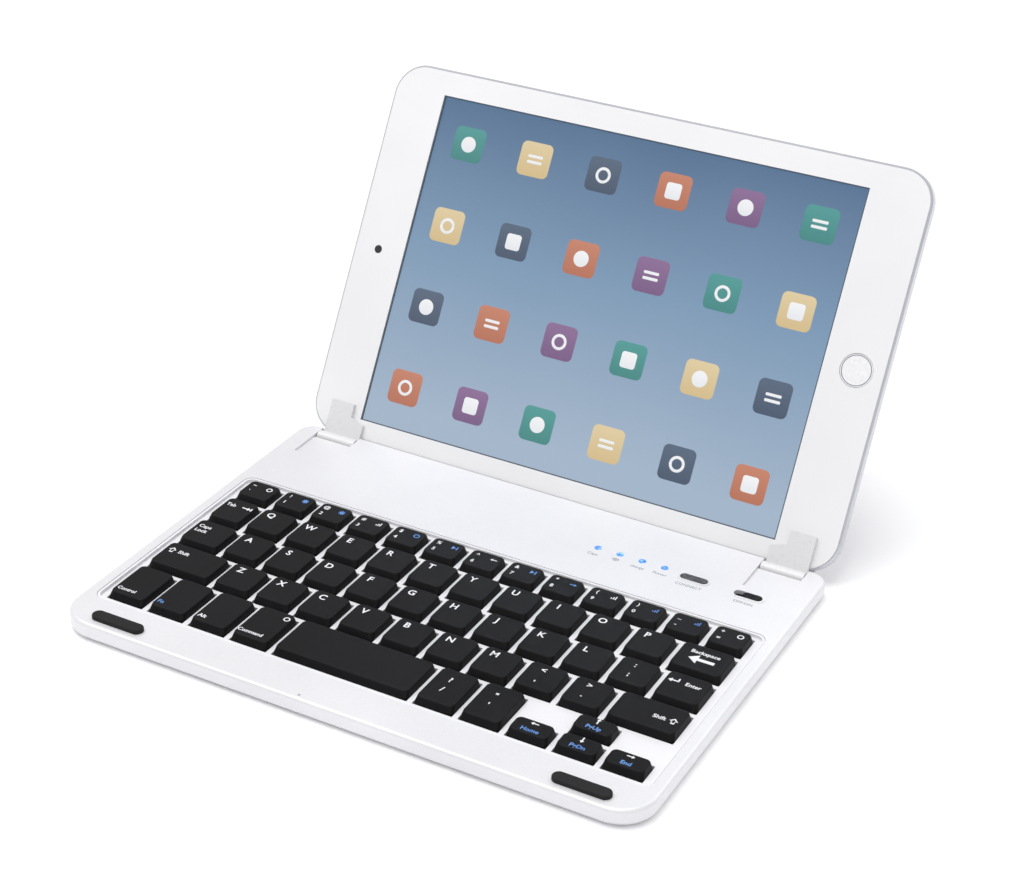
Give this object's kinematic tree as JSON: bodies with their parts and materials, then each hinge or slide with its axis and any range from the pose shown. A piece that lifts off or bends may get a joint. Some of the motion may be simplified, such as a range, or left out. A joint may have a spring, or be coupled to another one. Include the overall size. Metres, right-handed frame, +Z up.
{
  "type": "tablet keyboard case",
  "caption": "Slim clamshell keyboard case with black chiclet keys, two rear hinge clips and a removable tablet that serves as the lid",
  "frame": {"origin": "on the table under the middle of the open assembly, rubber feet standing on Z = 0", "axes": "+X to the typist's right, +Y to the rear, +Z up"},
  "size_m": [0.2, 0.2146, 0.1223],
  "materials": {
    "white_aluminium": "satin bead-blasted, silver-white",
    "white_plastic": "satin moulded",
    "black_key": "fine satin moulded, white printed legends",
    "black_rubber": "matt",
    "grey_rubber": "matt silicone",
    "steel": "stamped",
    "circuit": "solder mask",
    "membrane": "clear printed film",
    "cell": "foil pouch",
    "light_blue": "clear moulded, lit blue",
    "black_plastic": "polished moulded",
    "clip_plastic": "satin moulded, light grey",
    "white_glass": "polished cover glass, white printed border",
    "screen": "lit display panel",
    "white_gloss": "polished",
    "lens": "dark polished"
  },
  "bodies": {
    "base": {"top_cover": "white_aluminium", "bottom_cover": "white_aluminium", "key_tray": "white_plastic", "support_plate": "steel", "switch_membrane": "membrane", "rubber_domes": "grey_rubber", "scissor_links": "white_plastic", "circuit_board": "circuit", "battery": "cell", "light_pipes": "light_blue", "switch_bodies": "steel", "charging_inlet": "steel", "front_bumpers": "black_rubber", "rubber_feet": "black_rubber", "case_screws": "steel", "hinge_brackets": "steel", "hinge_pins": "steel"},
    "left_clip": {"left_clip": "clip_plastic", "left_clip_pad": "grey_rubber"},
    "right_clip": {"right_clip": "clip_plastic", "right_clip_pad": "grey_rubber"},
    "tablet": {"tablet_housing": "white_aluminium", "tablet_glass": "white_glass", "tablet_display": "screen", "tablet_camera": "lens", "tablet_battery": "cell"},
    "tablet_home_button": {"tablet_home_button": "white_gloss"},
    "connect_button": {"connect_button": "black_plastic"},
    "power_switch_knob": {"power_switch_knob": "black_plastic"},
    "key_Q": {"key_Q": "black_key"},
    "key_W": {"key_W": "black_key"},
    "key_E": {"key_E": "black_key"},
    "key_R": {"key_R": "black_key"},
    "key_T": {"key_T": "black_key"},
    "key_Y": {"key_Y": "black_key"},
    "key_U": {"key_U": "black_key"},
    "key_I": {"key_I": "black_key"},
    "key_O": {"key_O": "black_key"},
    "key_P": {"key_P": "black_key"},
    "key_A": {"key_A": "black_key"},
    "key_S": {"key_S": "black_key"},
    "key_D": {"key_D": "black_key"},
    "key_F": {"key_F": "black_key"},
    "key_G": {"key_G": "black_key"},
    "key_H": {"key_H": "black_key"},
    "key_J": {"key_J": "black_key"},
    "key_K": {"key_K": "black_key"},
    "key_L": {"key_L": "black_key"},
    "key_Z": {"key_Z": "black_key"},
    "key_X": {"key_X": "black_key"},
    "key_C": {"key_C": "black_key"},
    "key_V": {"key_V": "black_key"},
    "key_B": {"key_B": "black_key"},
    "key_N": {"key_N": "black_key"},
    "key_M": {"key_M": "black_key"},
    "key_space": {"key_space": "black_key"},
    "keys_number_row": {"keys_number_row": "black_key"},
    "keys_symbols": {"keys_symbols": "black_key"},
    "keys_words": {"keys_words": "black_key"},
    "keys_arrows": {"keys_arrows": "black_key"}
  },
  "joints": [
    {"name": "lid_hinge", "type": "hinge", "parent": "base", "child": "left_clip", "pos_m": [-0.085, 0.0329, 0.0045], "axis": [1, 0, 0], "range_deg": [-3, 119]},
    {"name": "right_clip_hinge", "type": "hinge", "parent": "base", "child": "right_clip", "pos_m": [0.085, 0.0329, 0.0045], "axis": [1, 0, 0], "range_deg": [-3, 119]},
    {"name": "tablet_lift_out", "type": "slide", "parent": "left_clip", "child": "tablet", "axis": [0, 0.4848, 0.8746], "range_m": [0, 0.05]},
    {"name": "home_button_press", "type": "slide", "parent": "tablet", "child": "tablet_home_button", "axis": [0, 0.8746, -0.4848], "range_m": [0, 0.00025], "stiffness_N_per_m": 4000},
    {"name": "connect_button_press", "type": "slide", "parent": "base", "child": "connect_button", "axis": [0, 0, -1], "range_m": [0, 0.0004], "stiffness_N_per_m": 4000},
    {"name": "power_switch_slide", "type": "slide", "parent": "base", "child": "power_switch_knob", "axis": [-1, 0, 0], "range_m": [0, 0.0028]},
    {"name": "key_Q_press", "type": "slide", "parent": "base", "child": "key_Q", "axis": [0, 0, -1], "range_m": [0, 0.0015], "stiffness_N_per_m": 400, "deforming": ["rubber_domes", "scissor_links"]},
    {"name": "key_W_press", "type": "slide", "parent": "base", "child": "key_W", "axis": [0, 0, -1], "range_m": [0, 0.0015], "stiffness_N_per_m": 400, "deforming": ["rubber_domes", "scissor_links"]},
    {"name": "key_E_press", "type": "slide", "parent": "base", "child": "key_E", "axis": [0, 0, -1], "range_m": [0, 0.0015], "stiffness_N_per_m": 400, "deforming": ["rubber_domes", "scissor_links"]},
    {"name": "key_R_press", "type": "slide", "parent": "base", "child": "key_R", "axis": [0, 0, -1], "range_m": [0, 0.0015], "stiffness_N_per_m": 400, "deforming": ["rubber_domes", "scissor_links"]},
    {"name": "key_T_press", "type": "slide", "parent": "base", "child": "key_T", "axis": [0, 0, -1], "range_m": [0, 0.0015], "stiffness_N_per_m": 400, "deforming": ["rubber_domes", "scissor_links"]},
    {"name": "key_Y_press", "type": "slide", "parent": "base", "child": "key_Y", "axis": [0, 0, -1], "range_m": [0, 0.0015], "stiffness_N_per_m": 400, "deforming": ["rubber_domes", "scissor_links"]},
    {"name": "key_U_press", "type": "slide", "parent": "base", "child": "key_U", "axis": [0, 0, -1], "range_m": [0, 0.0015], "stiffness_N_per_m": 400, "deforming": ["rubber_domes", "scissor_links"]},
    {"name": "key_I_press", "type": "slide", "parent": "base", "child": "key_I", "axis": [0, 0, -1], "range_m": [0, 0.0015], "stiffness_N_per_m": 400, "deforming": ["rubber_domes", "scissor_links"]},
    {"name": "key_O_press", "type": "slide", "parent": "base", "child": "key_O", "axis": [0, 0, -1], "range_m": [0, 0.0015], "stiffness_N_per_m": 400, "deforming": ["rubber_domes", "scissor_links"]},
    {"name": "key_P_press", "type": "slide", "parent": "base", "child": "key_P", "axis": [0, 0, -1], "range_m": [0, 0.0015], "stiffness_N_per_m": 400, "deforming": ["rubber_domes", "scissor_links"]},
    {"name": "key_A_press", "type": "slide", "parent": "base", "child": "key_A", "axis": [0, 0, -1], "range_m": [0, 0.0015], "stiffness_N_per_m": 400, "deforming": ["rubber_domes", "scissor_links"]},
    {"name": "key_S_press", "type": "slide", "parent": "base", "child": "key_S", "axis": [0, 0, -1], "range_m": [0, 0.0015], "stiffness_N_per_m": 400, "deforming": ["rubber_domes", "scissor_links"]},
    {"name": "key_D_press", "type": "slide", "parent": "base", "child": "key_D", "axis": [0, 0, -1], "range_m": [0, 0.0015], "stiffness_N_per_m": 400, "deforming": ["rubber_domes", "scissor_links"]},
    {"name": "key_F_press", "type": "slide", "parent": "base", "child": "key_F", "axis": [0, 0, -1], "range_m": [0, 0.0015], "stiffness_N_per_m": 400, "deforming": ["rubber_domes", "scissor_links"]},
    {"name": "key_G_press", "type": "slide", "parent": "base", "child": "key_G", "axis": [0, 0, -1], "range_m": [0, 0.0015], "stiffness_N_per_m": 400, "deforming": ["rubber_domes", "scissor_links"]},
    {"name": "key_H_press", "type": "slide", "parent": "base", "child": "key_H", "axis": [0, 0, -1], "range_m": [0, 0.0015], "stiffness_N_per_m": 400, "deforming": ["rubber_domes", "scissor_links"]},
    {"name": "key_J_press", "type": "slide", "parent": "base", "child": "key_J", "axis": [0, 0, -1], "range_m": [0, 0.0015], "stiffness_N_per_m": 400, "deforming": ["rubber_domes", "scissor_links"]},
    {"name": "key_K_press", "type": "slide", "parent": "base", "child": "key_K", "axis": [0, 0, -1], "range_m": [0, 0.0015], "stiffness_N_per_m": 400, "deforming": ["rubber_domes", "scissor_links"]},
    {"name": "key_L_press", "type": "slide", "parent": "base", "child": "key_L", "axis": [0, 0, -1], "range_m": [0, 0.0015], "stiffness_N_per_m": 400, "deforming": ["rubber_domes", "scissor_links"]},
    {"name": "key_Z_press", "type": "slide", "parent": "base", "child": "key_Z", "axis": [0, 0, -1], "range_m": [0, 0.0015], "stiffness_N_per_m": 400, "deforming": ["rubber_domes", "scissor_links"]},
    {"name": "key_X_press", "type": "slide", "parent": "base", "child": "key_X", "axis": [0, 0, -1], "range_m": [0, 0.0015], "stiffness_N_per_m": 400, "deforming": ["rubber_domes", "scissor_links"]},
    {"name": "key_C_press", "type": "slide", "parent": "base", "child": "key_C", "axis": [0, 0, -1], "range_m": [0, 0.0015], "stiffness_N_per_m": 400, "deforming": ["rubber_domes", "scissor_links"]},
    {"name": "key_V_press", "type": "slide", "parent": "base", "child": "key_V", "axis": [0, 0, -1], "range_m": [0, 0.0015], "stiffness_N_per_m": 400, "deforming": ["rubber_domes", "scissor_links"]},
    {"name": "key_B_press", "type": "slide", "parent": "base", "child": "key_B", "axis": [0, 0, -1], "range_m": [0, 0.0015], "stiffness_N_per_m": 400, "deforming": ["rubber_domes", "scissor_links"]},
    {"name": "key_N_press", "type": "slide", "parent": "base", "child": "key_N", "axis": [0, 0, -1], "range_m": [0, 0.0015], "stiffness_N_per_m": 400, "deforming": ["rubber_domes", "scissor_links"]},
    {"name": "key_M_press", "type": "slide", "parent": "base", "child": "key_M", "axis": [0, 0, -1], "range_m": [0, 0.0015], "stiffness_N_per_m": 400, "deforming": ["rubber_domes", "scissor_links"]},
    {"name": "key_space_press", "type": "slide", "parent": "base", "child": "key_space", "axis": [0, 0, -1], "range_m": [0, 0.0015], "stiffness_N_per_m": 400, "deforming": ["rubber_domes", "scissor_links"]},
    {"name": "keys_number_row_press", "type": "slide", "parent": "base", "child": "keys_number_row", "axis": [0, 0, -1], "range_m": [0, 0.0015], "stiffness_N_per_m": 400, "deforming": ["rubber_domes", "scissor_links"]},
    {"name": "keys_symbols_press", "type": "slide", "parent": "base", "child": "keys_symbols", "axis": [0, 0, -1], "range_m": [0, 0.0015], "stiffness_N_per_m": 400, "deforming": ["rubber_domes", "scissor_links"]},
    {"name": "keys_words_press", "type": "slide", "parent": "base", "child": "keys_words", "axis": [0, 0, -1], "range_m": [0, 0.0015], "stiffness_N_per_m": 400, "deforming": ["rubber_domes", "scissor_links"]},
    {"name": "keys_arrows_press", "type": "slide", "parent": "base", "child": "keys_arrows", "axis": [0, 0, -1], "range_m": [0, 0.0015], "stiffness_N_per_m": 400, "deforming": ["rubber_domes", "scissor_links"]}
  ],
  "couplings": [
    {"joint": "right_clip_hinge", "follows": "lid_hinge", "ratio": 1}
  ]
}
